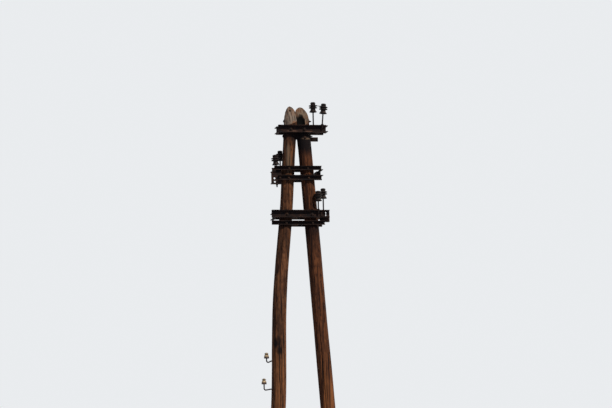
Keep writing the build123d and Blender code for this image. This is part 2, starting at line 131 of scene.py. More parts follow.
# %% Set the lights
def add_sun(name, right_of_camera, height, energy, spread, colour):
    data = bpy.data.lights.new(name, "SUN")
    data.energy = energy
    data.angle = math.radians(spread)
    data.color = colour
    light = bpy.data.objects.new(name, data)
    scene.collection.objects.link(light)
    azimuth = camera_azimuth - math.radians(right_of_camera)
    height = math.radians(height)
    travel = Vector((
        math.sin(azimuth) * math.cos(height),
        math.cos(azimuth) * math.cos(height),
        -math.sin(height),
    ))
    light.rotation_euler = travel.to_track_quat("-Z", "Y").to_euler()
    print(name, "from", right_of_camera, "degrees right of the camera")


add_sun(
    "sun", right_of_camera=42.0, height=46.0, energy=4.3, spread=5.0, colour=(1.0, 0.90, 0.76),
)
add_sun(
    "rim", right_of_camera=128.0, height=28.0, energy=1.3, spread=20.0, colour=(1.0, 0.78, 0.58),
)

# %% [markdown]
# An even bluish world fills in the shadows. The camera, and rays that are mirrored or pass
# through something, see a plain pale backdrop in its place.

# %% Set the world
world = bpy.data.worlds.new("world")
scene.world = world
world.use_nodes = True
world_nodes = world.node_tree.nodes
world_links = world.node_tree.links
world_nodes.clear()


def background(colour, strength):
    made = world_nodes.new("ShaderNodeBackground")
    made.inputs["Color"].default_value = colour
    made.inputs["Strength"].default_value = strength
    return made.outputs[0]


def either(first, second):
    made = world_nodes.new("ShaderNodeMath")
    made.operation = "MAXIMUM"
    world_links.new(first, made.inputs[0])
    world_links.new(second, made.inputs[1])
    return made.outputs[0]


fill_light = background((0.50, 0.66, 1.0, 1.0), 0.27)
backdrop = background((0.82, 0.84, 0.86, 1.0), 1.0)
ray = world_nodes.new("ShaderNodeLightPath").outputs
mirrored = either(ray["Is Glossy Ray"], ray["Is Transmission Ray"])
pick = world_nodes.new("ShaderNodeMixShader")
world_out = world_nodes.new("ShaderNodeOutputWorld")
world_links.new(either(ray["Is Camera Ray"], mirrored), pick.inputs[0])
world_links.new(fill_light, pick.inputs[1])
world_links.new(backdrop, pick.inputs[2])
world_links.new(pick.outputs[0], world_out.inputs["Surface"])
print("world nodes:", len(world_nodes))

# %% [markdown]
# ## Shader maths as Python
# A material here is a small calculation on the point being shaded. A socket wrapped in a
# class with the usual operators lets that calculation be written as ordinary maths, and
# each operator adds one Math node. Every other node comes from one method.

# %% A socket that can be calculated with
class Value:
    def __init__(self, recipe, socket):
        self.recipe = recipe
        self.socket = socket

    def math(self, operation, other):
        settings = {"operation": operation}
        return self.recipe.node("ShaderNodeMath", settings, {0: self, 1: other})

    def __add__(self, other):
        return self.math("ADD", other)

    def __sub__(self, other):
        return self.math("SUBTRACT", other)

    def __mul__(self, other):
        return self.math("MULTIPLY", other)


# %% A material that writes its own nodes
class Recipe:
    def __init__(self, name):
        self.material = bpy.data.materials.new(name)
        self.material.use_nodes = True
        self.tree = self.material.node_tree
        self.tree.nodes.clear()
        out = self.tree.nodes.new("ShaderNodeOutputMaterial")
        self.shader = self.tree.nodes.new("ShaderNodeBsdfPrincipled")
        self.tree.links.new(self.shader.outputs[0], out.inputs["Surface"])
        self.point = self.node("ShaderNodeTexCoord", output="Object")

    def node(self, kind, settings=None, inputs=None, output=0):
        made = self.tree.nodes.new(kind)
        for name, setting in (settings or {}).items():
            setattr(made, name, setting)
        for name, value in (inputs or {}).items():
            self.feed(made.inputs[name], value)
        return Value(self, made.outputs[output])

    def feed(self, socket, value):
        if isinstance(value, Value):
            self.tree.links.new(value.socket, socket)
        else:
            socket.default_value = value

    def along(self, x, y, z):
        return self.node("ShaderNodeMapping", {}, {"Vector": self.point, "Scale": (x, y, z)})

    def noise(self, where, scale=1.0, detail=6.0, roughness=0.55):
        inputs = {"Vector": where, "Scale": scale, "Detail": detail, "Roughness": roughness}
        return self.node("ShaderNodeTexNoise", {}, inputs)

    def mask(self, value, start, end):
        inputs = {"Value": value, "From Min": start, "From Max": end}
        return self.node("ShaderNodeMapRange", {"clamp": True}, inputs)

    def mix(self, factor, first, second):
        settings = {"data_type": "RGBA", "blend_type": "MIX"}
        return self.node("ShaderNodeMix", settings, {0: factor, 6: first, 7: second}, output=2)

    def height(self):
        return self.node("ShaderNodeSeparateXYZ", {}, {0: self.point}, output="Z")

    def near(self, centre, size):
        shrink = tuple(1 / length for length in size)
        shift = tuple(-middle * scale for middle, scale in zip(centre, shrink))
        inputs = {"Vector": self.point, "Scale": shrink, "Location": shift}
        scaled = self.node("ShaderNodeMapping", {}, inputs)
        settings = {"operation": "LENGTH"}
        return self.node("ShaderNodeVectorMath", settings, {0: scaled}, output="Value")

    def bump(self, height, strength, distance):
        inputs = {"Height": height, "Strength": strength, "Distance": distance}
        self.feed(self.shader.inputs["Normal"], self.node("ShaderNodeBump", {}, inputs))

    def finish(self, **inputs):
        for name, value in inputs.items():
            self.feed(self.shader.inputs[name.replace("_", " ")], value)
        return self.material


# %% [markdown]
# ## Levels shared with the frame
# The trunks have seats where the arms lie, and shade is painted on the wood under each arm.
# Both follow the arms, so the levels are read from the frame's own boxes.

# %% Read the arm levels
arm_names = (
    "top_arm_front", "middle_upper_front", "middle_lower_front",
    "bottom_upper_front", "bottom_lower_front",
)
arm_levels = [(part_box(name)[0].z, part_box(name)[1].z) for name in arm_names]
stub_level = (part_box("stub_arm")[0].z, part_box("stub_arm")[1].z)
seat_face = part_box("top_arm_back")[0].y
top_arm_low, top_arm_high = arm_levels[0]
bottom_arm_low = arm_levels[-1][0]
print("arm levels:", [(round(low, 3), round(high, 3)) for low, high in arm_levels])

# %% [markdown]
# ## Weathered round timber
# Old pole timber is brown where the sun has burnt it and nearly black where rain soaks it, and
# the same near-black is painted into its cracks as shade. Its grain, cracks and streaks all
# run along the trunk, so every noise is stretched along Z. Hollows, knots, painted shade
# under the arms, scuffs and painted patches of light are added at named places, each as a
# soft mask.

# %% Timber on the trunks
# Near-black for soaked knots, and for painted shade in the cracks and under the arms.
soak_and_shade_black = (0.006, 0.005, 0.006, 1.0)
burnt_red = (0.245, 0.095, 0.034, 1.0)
# Pale wood for scuffs and for painted patches of sunlit wood.
bared_and_lit_wood = (0.19, 0.13, 0.085, 1.0)
burnt_from, burnt_fully = 7.7, 6.7


def trunk_finish(name, warm, pale, dark, arm_shades, knots_and_shade, scuffs_and_lit_patches):
    recipe = Recipe(name)
    fibres = recipe.noise(recipe.along(80, 80, 3.5), detail=8.0, roughness=0.75)
    streaks = recipe.noise(recipe.along(20, 20, 0.7), detail=6.0, roughness=0.65)
    patches = recipe.noise(recipe.along(6, 6, 2.0), detail=5.0, roughness=0.65)
    flecks = recipe.noise(recipe.along(38, 38, 13), detail=5.0, roughness=0.7)
    cracks = recipe.noise(recipe.along(46, 46, 1.2), detail=3.0, roughness=0.5)
    crack_shade = recipe.mask(cracks, 0.42, 0.36)
    height = recipe.height()

    wood = recipe.mix(recipe.mask(streaks, 0.38, 0.58), dark, warm)
    wood = recipe.mix(recipe.mask(fibres, 0.50, 0.74) * 0.65, wood, pale)
    wood = recipe.mix(recipe.mask(patches, 0.50, 0.38) * 0.6, wood, dark)
    wood = recipe.mix(recipe.mask(flecks, 0.52, 0.38) * 0.85, wood, dark)
    burnt = recipe.mask(height, burnt_from, burnt_fully) * recipe.mask(streaks, 0.42, 0.62)
    wood = recipe.mix(burnt * 0.5, wood, burnt_red)
    # Painted shade: the cracks are darkened to near-black.
    wood = recipe.mix(crack_shade * 0.9, wood, soak_and_shade_black)

    ragged_height = height + (streaks * 0.5 + flecks * 0.1 - 0.3)
    # Painted shade: a dark band on the wood under each arm.
    for low, high, softness, strength in arm_shades:
        below_arm = recipe.mask(height, high + 0.03, high + 0.01)
        band = recipe.mask(ragged_height, low - softness, low + softness) * below_arm
        wood = recipe.mix(band * strength, wood, soak_and_shade_black)
    # Knots, and one patch of painted shade, in near-black.
    for centre, size, strength in knots_and_shade:
        edge = recipe.near(centre, size) + patches + flecks * 0.9 + fibres * 0.9
        wood = recipe.mix(recipe.mask(edge, 2.5, 1.9) * strength, wood, soak_and_shade_black)
    # Scuffs, and painted light on patches of sunlit wood, in pale wood.
    for centre, size in scuffs_and_lit_patches:
        edge = recipe.near(centre, size) + flecks
        wood = recipe.mix(recipe.mask(edge, 1.8, 1.2) * 0.5, wood, bared_and_lit_wood)

    recipe.bump(fibres * 0.5 + streaks * 0.3 + flecks * 0.2 - crack_shade, 0.9, 0.006)
    roughness = recipe.mask(fibres, 0.2, 0.9) * 0.2 + 0.72
    return recipe.finish(Base_Color=wood, Roughness=roughness, Specular_IOR_Level=0.05)


print("burnt red from", burnt_from, "m down")

# %% [markdown]
# A band of painted shade under an arm is the level where it starts, the arm above it, its
# softness and its strength. A knot is a centre, a size and a strength, and scuffs and
# painted patches of light are each a centre and a size.

# %% Painted shade under the arms, knots, scuffs and painted light
# Painted shade under the top and bottom arms of the left leg.
left_arm_shades = [
    (top_arm_low - 0.08, top_arm_low, 0.05, 0.92),
    (bottom_arm_low - 0.05, bottom_arm_low, 0.05, 0.80),
]
left_knots_and_shade = [
    ((0.370, -0.11, 7.33), (0.055, 0.08, 0.11), 0.90),
    ((0.430, -0.11, 7.22), (0.050, 0.08, 0.09), 0.90),
    # This entry is painted shade under the top arm, on the right half of the left leg.
    ((0.745, -0.10, 10.62), (0.070, 0.10, 0.15), 0.75),
    ((0.600, -0.10, 9.00), (0.120, 0.16, 0.22), 0.45),
    ((0.395, -0.11, 7.36), (0.130, 0.12, 0.10), 0.55),
]
left_scuffs = [
    ((0.650, -0.09, 10.33), (0.038, 0.10, 0.22)),
]
# Painted shade under the top and bottom arms of the right leg, reaching far down.
right_arm_shades = [
    (top_arm_low - 0.34, top_arm_low, 0.06, 0.97),
    (bottom_arm_low - 0.30, bottom_arm_low, 0.22, 0.80),
]
right_knots = [
    ((1.20, -0.12, 9.02), (0.020, 0.05, 0.04), 0.50),
]
right_lit_patches = [
    # Painted light: a pale patch of sunlit wood under the stub arm.
    ((0.955, -0.09, 10.655), (0.075, 0.09, 0.014)),
]
left_trunk = trunk_finish(
    "left_trunk", warm=(0.143, 0.058, 0.026, 1), pale=(0.200, 0.110, 0.060, 1),
    dark=(0.029, 0.014, 0.010, 1), arm_shades=left_arm_shades, knots_and_shade=left_knots_and_shade, scuffs_and_lit_patches=left_scuffs,
)
right_trunk = trunk_finish(
    "right_trunk", warm=(0.114, 0.041, 0.018, 1), pale=(0.150, 0.068, 0.032, 1),
    dark=(0.022, 0.010, 0.008, 1), arm_shades=right_arm_shades, knots_and_shade=right_knots, scuffs_and_lit_patches=right_lit_patches,
)
print("stains:", len(left_arm_shades + right_arm_shades), "knots:", len(left_knots_and_shade + right_knots))

# %% [markdown]
# The sawn slanted tops have greyed to a pale beige. Grain shows on them as fine stripes up
# the slope, since the cut runs almost along the trunk, and brown clouds stay between them.
# The deepest stripes and the hollow are painted near-black as shade.

# %% Timber on the sawn tops
# Near-black painted shade for the hollow and the deepest grain stripes on the sawn tops.
painted_shade_black = (0.002, 0.002, 0.002, 1.0)
sawn_brown = (0.16, 0.070, 0.032, 1.0)


def sawn_finish(name, pale, grey, shaded_hollow_centre, shaded_hollow_reach):
    recipe = Recipe(name)
    stripes = recipe.noise(recipe.along(36, 7, 3), detail=7.0, roughness=0.7)
    clouds = recipe.noise(recipe.along(9, 9, 7), detail=4.0, roughness=0.6)
    wood = recipe.mix(recipe.mask(stripes, 0.42, 0.58), grey, pale)
    wood = recipe.mix(recipe.mask(clouds, 0.50, 0.64) * 0.7, wood, sawn_brown)
    # Painted shadow: the hollow is darkened to near-black.
    edge = recipe.near(shaded_hollow_centre, shaded_hollow_reach) + clouds * 0.4 + stripes * 0.5
    wood = recipe.mix(recipe.mask(edge, 1.56, 1.34), wood, painted_shade_black)
    # Painted shade: the deepest grain stripes are darkened to near-black.
    wood = recipe.mix(recipe.mask(stripes, 0.36, 0.30) * 0.8, wood, painted_shade_black)
    recipe.bump(stripes, 0.7, 0.004)
    roughness = recipe.mask(clouds, 0.2, 0.9) * 0.15 + 0.78
    return recipe.finish(Base_Color=wood, Roughness=roughness, Specular_IOR_Level=0.05)


print("sawn tops ready")

# %% [markdown]
# ## The trunks
# A trunk is a ring of short edges at the ground, extruded upwards row by row. The rows are
# first stacked as a plain tube in which each vertex keeps its angle, and then every vertex
# is moved to its place on the tapered, leaning and slightly lumpy log. Rows lie close
# together in the part that the camera sees. At each arm the log is cut to a flat seat.

# %% The line and girth of each leg
left_side, right_side = -1, 1
pole_height = left_high.z
leg_top = {left_side: left_high.z, right_side: right_high.z}
top_offset = {left_side: 0.0924, right_side: 0.078}
top_radius = {left_side: 0.101, right_side: 0.110}
foot_radius = {left_side: left_foot_radius, right_side: right_foot_radius}
bow, bow_height, bow_reach = 0.046, pole_height - 3.164, 1.75


def leg_x(side, height):
    share = height / pole_height
    centre = pole_middle + side * (pole_middle * (1 - share) + top_offset[side] * share)
    from_bow = abs(height - bow_height)
    if side == left_side and from_bow < bow_reach:
        centre -= bow * math.cos(math.pi / 2 * from_bow / bow_reach) ** 2
    return centre


def leg_radius(side, height):
    share = height / pole_height
    return foot_radius[side] * (1 - share) + top_radius[side] * share


print("legs at 7 m:", [round(leg_x(side, 7), 3) for side in (left_side, right_side)])

# %% [markdown]
# Drying opens long cracks in a log. Each one follows the grain, deepest at its middle and
# closing towards its ends. The grain itself turns slowly round the log, so the columns of
# vertices turn with it, and a crack can be a dent in one column.

# %% Cracks that follow the grain
crack_width = 0.0065
grain_swing = 0.35
grain_twist = 0.02


def grain_turn(side, height):
    swing = noise.noise(Vector((side * 5.0, 3.1, height * 0.22)))
    return grain_swing * swing + side * grain_twist * height


def crack_depth(cracks, column_angle, height, radius):
    depth = 0.0
    for angle, low, high, deepest in cracks:
        if low < height < high:
            share = (height - low) / (high - low)
            from_crack = math.remainder(column_angle - angle, math.tau) * radius
            narrow = math.exp(-((from_crack / crack_width) ** 2))
            depth = max(depth, deepest * narrow * math.sin(math.pi * share) ** 0.5)
    return depth


print("grain at 10 m:", [round(grain_turn(side, 10), 3) for side in (left_side, right_side)])

# %% [markdown]
# A log is never round. Wide lumps, narrower ridges and fine fibres raise and lower its
# surface, it swells a little where the legs meet at the top, and the left one has a bulge.

# %% Lumps, ridges and fibres
lump_rise, ridge_rise, fibre_rise = 0.005, 0.0030, 0.0014
mean_hollow = 0.0035
swelling, swollen_from, swollen_to = 0.014, 10.45, 10.85
bulge_angle, bulge_reach = math.pi, 0.6
bulge_level, bulge_half_height, bulge_rise = 10.09, 0.12, 0.013


def round_noise(angle, spread, shift, level):
    across = math.cos(angle) * spread
    return noise.noise(Vector((across, math.sin(angle) * spread + shift, level)))


def log_roughness(side, angle, height):
    lump = round_noise(angle, 1.3, side * 9, height * 0.9)
    ridge = round_noise(angle, 8, side * 9, height * 1.3)
    fibre = round_noise(angle, 26, 0, height * 3 + side * 7)
    rough = -mean_hollow + lump * lump_rise + ridge * ridge_rise + fibre * fibre_rise
    share = min(1.0, max(0.0, (height - swollen_from) / (swollen_to - swollen_from)))
    rough += swelling * share * max(0.0, -side * math.cos(angle)) ** 2
    if side == left_side:
        aside = math.remainder(angle - bulge_angle, math.tau) / bulge_reach
        above = (height - bulge_level) / bulge_half_height
        rough += bulge_rise * math.exp(-(aside**2) - above**2)
    return rough


print("left log's front at 7 m:", round(log_roughness(left_side, -math.pi / 2, 7) * 1000, 1), "mm")

# %% The seats and flats that are cut into a leg
seat_margin = 0.003
washer_half = 0.032
spot_face_depth = 0.009
bearing_plane = pole_middle - 0.004
block_level = (top_arm_low + top_arm_high) / 2 - 0.107
joint_bolt_level = pole_height - 0.264
strut_level = pole_height * 0.312
cross_levels = (block_level, joint_bolt_level, strut_level)
stub_middle = sum(stub_level) / 2


def cut_flats(side, point):
    for low, high in arm_levels:
        if low - seat_margin < point.z < high + seat_margin:
            point.y = max(-seat_face, min(seat_face, point.y))
    at_stub = stub_level[0] - seat_margin < point.z < stub_level[1] + seat_margin
    if side == right_side and at_stub:
        point.y = min(seat_face, point.y)
        if abs(point.x - leg_x(side, stub_middle)) < washer_half:
            point.y = max(-seat_face, point.y)
    for level in cross_levels:
        if abs(point.z - level) < washer_half and abs(point.y) < washer_half:
            flat = leg_x(side, level) + side * (leg_radius(side, level) - spot_face_depth)
            point.x = side * min(side * point.x, side * flat)
    if point.z > top_arm_low:
        point.x = side * max(side * point.x, side * bearing_plane)
    return point


print("flats at:", [round(level, 3) for level in cross_levels])

# %% [markdown]
# Each edge of a seat needs two rows close together, or it would look rounded.

# %% The heights of the rows
lower_row_step = 0.06
camera_sees_from = 6.0
upper_row_step = 0.026
seat_edge_step = 0.0006
trunk_top = top_arm_high + seat_margin + 0.001


def row_heights(side):
    heights = [lower_row_step * row for row in range(round(camera_sees_from / lower_row_step))]
    upper_rows = int((trunk_top - camera_sees_from) / upper_row_step)
    heights += [camera_sees_from + upper_row_step * row for row in range(upper_rows)]
    edges = [edge for low, high in arm_levels for edge in (low - seat_margin, high + seat_margin)]
    edges += [edge for level in cross_levels for edge in (level - washer_half, level + washer_half)]
    if side == right_side:
        edges += [stub_level[0] - seat_margin, stub_level[1] + seat_margin]
    edges = [edge for edge in edges if edge < trunk_top - 2 * seat_edge_step]
    clear = 4 * seat_edge_step
    heights = [height for height in heights if all(abs(height - edge) > clear for edge in edges)]
    heights += [edge + way * seat_edge_step for edge in edges for way in (-1, 1)]
    return sorted(heights) + [trunk_top]


print("rows:", len(row_heights(left_side)), "left,", len(row_heights(right_side)), "right")

# %% [markdown]
# The top is sawn on a slant that sheds rain to the front, and weather has worn it to a
# crown. The right one has rotted to a hollow at the lower end of the cut, and the material
# paints that hollow near-black as shadow. The last rows therefore rise to a height that
# depends on where they are, and more rows run inwards over the cut and meet at one point.

# %% The height of the sawn top over each point
top_cut_drop = 0.32
outer_crown = {left_side: 0.070, right_side: 0.028}
inner_crown = 0.040
stripe_depth = 0.004
hollow_place = Vector((pole_middle + 0.053, -0.066))
hollow_size = Vector((0.070, 0.080))
hollow_depth = 0.10
above_arm = 0.006


def sawn_height(side, x, y):
    top = leg_top[side]
    radius = leg_radius(side, top)
    aside = (x - leg_x(side, top)) / radius
    crown = outer_crown[side] if side * aside > 0 else inner_crown
    height = top - top_cut_drop * (radius - y) / (2 * radius) - crown * aside**2
    height -= stripe_depth * abs(noise.noise(Vector((x * 45, y * 10, side * 3.0))))
    if side == right_side:
        over, along = (x - hollow_place.x) / hollow_size.x, (y - hollow_place.y) / hollow_size.y
        height -= hollow_depth * max(0.0, 1 - (over**2 + along**2) ** 2)
    return max(height, top_arm_high + above_arm)


print("right hollow's floor:", round(sawn_height(right_side, *hollow_place), 3), "m")

# %% [markdown]
# ## From mesh code to a piece
# Every added piece is made in the same way: the finished shape becomes an object with its
# materials, and the object rides on the pole.

# %% Make a piece of a shape
def new_piece(name, shape, materials, smooth=True):
    bmesh.ops.recalc_face_normals(shape, faces=shape.faces[:])
    for face in shape.faces:
        face.smooth = smooth
    mesh = bpy.data.meshes.new(name)
    shape.to_mesh(mesh)
    shape.free()
    for material in materials:
        mesh.materials.append(material)
    piece = bpy.data.objects.new(name, mesh)
    scene.collection.objects.link(piece)
    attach(piece, "root")
    return piece


def extrude_ring(shape, ring):
    made = bmesh.ops.extrude_edge_only(shape, edges=ring)["geom"]
    edges = [item for item in made if isinstance(item, bmesh.types.BMEdge)]
    return [edge for edge in edges if edge.is_boundary]


print("ready to make pieces")

# %% [markdown]
# The plain tube holds what a vertex needs to know: its angle gives the column, its height
# counts the rows, and its distance from the middle says how far in on the cut it lies. The
# last ring is almost a point, so that its vertices still have an angle.

# %% Stack the rows of a trunk
columns = 120
top_rows = 14
inward_rows = 26
almost_nothing = 1e-6
settling_rounds = 3


def stack_rows(rim_row):
    tube = bmesh.new()
    bmesh.ops.create_circle(tube, cap_ends=True, segments=columns, radius=1.0)
    rim = tube.edges[:]
    for row in range(1, rim_row + inward_rows + 1):
        rim = extrude_ring(tube, rim)
        outward = 1 - max(0, row - rim_row) / inward_rows
        for vertex in {vertex for edge in rim for vertex in edge.verts}:
            flat = Vector((vertex.co.x, vertex.co.y)).normalized() * (outward or almost_nothing)
            vertex.co = (flat.x, flat.y, row)
    for face in tube.faces:
        face.material_index = 1 if face.calc_center_median().z > rim_row else 0
    return tube


print("columns:", columns, "rows over the cut:", inward_rows)

# %% [markdown]
# Between the top arm and the cut, the height of a row depends on where its vertex ends up,
# and that depends on the height, so the two are worked out in turn a few times.

# %% Move the rows to their places
def log_point(side, cracks, column_angle, height):
    angle = column_angle + grain_turn(side, height)
    radius = leg_radius(side, height)
    reach = radius + log_roughness(side, angle, height)
    reach -= crack_depth(cracks, column_angle, height, radius)
    x = leg_x(side, height) + math.cos(angle) * reach
    return cut_flats(side, Vector((x, math.sin(angle) * reach, height)))


def build_trunk(name, side, cracks, materials):
    heights = row_heights(side)
    last_plain_row = len(heights) - 1
    rim_row = last_plain_row + top_rows
    trunk = stack_rows(rim_row)
    for vertex in trunk.verts:
        row = round(vertex.co.z)
        outward = math.hypot(vertex.co.x, vertex.co.y)
        column_angle = math.atan2(vertex.co.y, vertex.co.x)
        height = heights[min(row, last_plain_row)]
        share = min(1.0, max(0, row - last_plain_row) / top_rows)
        point = log_point(side, cracks, column_angle, height)
        for repeat in range(settling_rounds if share > 0 else 0):
            cut_height = sawn_height(side, point.x, point.y)
            level = height + (cut_height - height) * share
            point = log_point(side, cracks, column_angle, level)
        if row > rim_row:
            middle = leg_x(side, point.z)
            point = Vector((middle + (point.x - middle) * outward, point.y * outward, 0.0))
            point.z = sawn_height(side, point.x, point.y)
        vertex.co = point
    bmesh.ops.remove_doubles(trunk, verts=trunk.verts[:], dist=1e-5)
    piece = new_piece(name, trunk, materials)
    print(name, "faces:", len(piece.data.polygons))
    return piece


print("trunk builder ready")

# %% [markdown]
# A crack is its angle, its two ends and its greatest depth. Angles are counted from the
# right-hand side towards the back, so the front of a leg is at minus a quarter turn. The
# longest cracks face the camera.

# %% Make both trunks
left_cracks = [
    (-1.25, 9.45, 10.75, 0.022),
    (-1.80, 8.15, 9.95, 0.016),
    (-0.75, 7.35, 9.15, 0.018),
    (-2.30, 6.35, 8.35, 0.014),
    (-1.45, 5.40, 7.60, 0.020),
    (-0.55, 9.70, 10.70, 0.012),
    (0.60, 6.00, 10.40, 0.015),
    (2.20, 4.00, 9.60, 0.018),
    (-1.60, 1.20, 5.10, 0.018),
    (3.00, 2.00, 8.00, 0.012),
]
right_cracks = [
    (-1.05, 9.50, 10.60, 0.014),
    (-1.95, 8.90, 10.40, 0.016),
    (-1.30, 6.90, 9.20, 0.014),
    (-2.10, 5.80, 7.90, 0.018),
    (-0.60, 5.20, 8.30, 0.012),
    (0.90, 5.00, 10.60, 0.016),
    (2.60, 3.50, 9.20, 0.014),
    (-1.40, 0.90, 5.00, 0.016),
]
left_sawn = sawn_finish(
    "left_sawn", pale=(0.185, 0.145, 0.115, 1), grey=(0.042, 0.033, 0.029, 1),
    shaded_hollow_centre=(pole_middle - 0.098, 0.055, 11.13), shaded_hollow_reach=(0.016, 0.022, 0.020),
)
right_sawn = sawn_finish(
    "right_sawn", pale=(0.165, 0.120, 0.086, 1), grey=(0.040, 0.028, 0.022, 1),
    shaded_hollow_centre=(*hollow_place, 10.95), shaded_hollow_reach=(0.076, 0.088, 0.30),
)
left_log = build_trunk("left_log", left_side, left_cracks, [left_trunk, left_sawn])
right_log = build_trunk("right_log", right_side, right_cracks, [right_trunk, right_sawn])
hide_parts("left_leg")
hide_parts("right_leg")

# %% [markdown]
# ## Rusted rolled steel
# The channels were never painted. Rust has turned them dark brown, blotched with redder and
# blacker patches and roughened all over. Two patches on the top arm are painted paler, as a
# highlight on the lit lower web over paler rust.

# %% Steel
highlight_rust_brown = (0.17, 0.095, 0.068, 1.0)
# Painted highlight on the lit lower web of the top arm, over paler rust.
highlight_patches = [
    ((0.720, -0.13, 10.776), (0.090, 0.08, 0.013)),
    ((0.985, -0.13, 10.766), (0.070, 0.08, 0.012)),
]


def rusted(name, dark, rust, bright, fineness=1.0, highlights=()):
    recipe = Recipe(name)
    stretched = recipe.along(9 * fineness, 9 * fineness, 20 * fineness)
    blotches = recipe.noise(stretched, detail=8.0, roughness=0.65)
    grains = recipe.noise(recipe.point, 190 * fineness, detail=4.0, roughness=0.7)
    scabs = recipe.noise(recipe.point, 34 * fineness, detail=5.0, roughness=0.6)
    colour = recipe.mix(recipe.mask(blotches, 0.42, 0.62), dark, rust)
    colour = recipe.mix(recipe.mask(scabs, 0.58, 0.72) * 0.7, colour, bright)
    # Painted highlight patches, paler brown over paler rust.
    for centre, size in highlights:
        patch = recipe.mask(recipe.near(centre, size) + scabs * 0.6, 1.5, 1.1)
        colour = recipe.mix(patch * 0.55, colour, highlight_rust_brown)
    recipe.bump(blotches * 0.5 + grains * 0.3 + scabs * 0.3, 0.7, 0.002)
    roughness = recipe.mask(grains, 0.2, 0.8) * 0.2 + 0.72
    return recipe.finish(Base_Color=colour, Roughness=roughness, Specular_IOR_Level=0.12)


arm_steel = rusted(
    "arm_steel", dark=(0.006, 0.005, 0.006, 1), rust=(0.026, 0.013, 0.010, 1),
    bright=(0.075, 0.030, 0.016, 1), highlights=highlight_patches,
)
bolt_steel = rusted(
    "bolt_steel", dark=(0.010, 0.008, 0.008, 1), rust=(0.040, 0.020, 0.013, 1),
    bright=(0.090, 0.040, 0.020, 1), fineness=2.0,
)
pin_iron = rusted(
    "pin_iron", dark=(0.005, 0.004, 0.005, 1), rust=(0.014, 0.009, 0.009, 1),
    bright=(0.030, 0.014, 0.010, 1), fineness=2.0,
)
hook_iron = rusted(
    "hook_iron", dark=(0.008, 0.007, 0.008, 1), rust=(0.024, 0.014, 0.012, 1),
    bright=(0.050, 0.024, 0.015, 1), fineness=2.0,
)
print("steel finishes made")

# %% [markdown]
# ## Glazed porcelain
# The pin insulators have a dark brown glaze dulled by soot. The two small ones on hooks are
# dark brown, with a cream band painted round the middle as a highlight.

# %% Porcelain
def glazed(name, colour, soot, soot_amount, least_roughness, gloss):
    recipe = Recipe(name)
    clouds = recipe.noise(recipe.point, 30.0, detail=5.0, roughness=0.6)
    specks = recipe.noise(recipe.point, 240.0, detail=3.0, roughness=0.7)
    dirt = recipe.mask(clouds, 0.40, 0.68) * soot_amount
    recipe.bump(clouds * 0.3 + specks * 0.1, 0.15, 0.001)
    roughness = dirt * 0.3 + recipe.mask(specks, 0.3, 0.8) * 0.08 + least_roughness
    glaze = recipe.mix(dirt, colour, soot)
    return recipe.finish(Base_Color=glaze, Roughness=roughness, Specular_IOR_Level=gloss)


brown_glaze = glazed(
    "brown_glaze", colour=(0.010, 0.005, 0.005, 1), soot=(0.006, 0.005, 0.006, 1),
    soot_amount=0.8, least_roughness=0.50, gloss=0.14,
)
# Painted highlight: this cream glaze stands for a highlight round the middle of the hook
# insulators.
cream_highlight_glaze = glazed(
    "cream_highlight_glaze", colour=(0.460, 0.350, 0.200, 1), soot=(0.120, 0.070, 0.035, 1),
    soot_amount=1.0, least_roughness=0.25, gloss=0.50,
)
dark_glaze = glazed(
    "dark_glaze", colour=(0.040, 0.016, 0.010, 1), soot=(0.015, 0.010, 0.009, 1),
    soot_amount=0.8, least_roughness=0.30, gloss=0.50,
)
print("glazes made")

# %% [markdown]
# ## Turned porcelain
# Every insulator is turned: a profile spun about its own axis. It is turned upright at the
# origin, tilted with its pin, and then moved to the middle of the box that it fills in the
# frame.

# %% Spin a profile
def turned(name, profile, steps, materials, centre, tilt=0.0, glaze_at=lambda height: 0):
    shape = bmesh.new()
    ring = [shape.verts.new((radius, 0.0, height)) for radius, height in profile]
    line = [shape.edges.new(pair) for pair in zip(ring, ring[1:])]
    axis = {"cent": (0, 0, 0), "axis": (0, 0, 1), "angle": math.tau}
    bmesh.ops.spin(shape, geom=ring + line, steps=steps, use_merge=True, **axis)
    bmesh.ops.remove_doubles(shape, verts=shape.verts[:], dist=1e-6)
    for face in shape.faces:
        face.material_index = glaze_at(face.calc_center_median().z)
    levels = [height for radius, height in profile]
    upright = Matrix.Translation((0, 0, -(min(levels) + max(levels)) / 2))
    placed = Matrix.Translation(centre) @ Matrix.Rotation(tilt, 4, "Y") @ upright
    bmesh.ops.transform(shape, matrix=placed, verts=shape.verts[:])
    return new_piece(name, shape, materials)


print("ready to turn")

# %% [markdown]
# A groove under the head of a pin insulator takes the tie wire, two thin sheds throw the
# rain clear, and a flared skirt keeps a dry ring round the pin. Its profile runs from the
# top of the head, down the outside and up the hollow inside. Two of the pins lean.

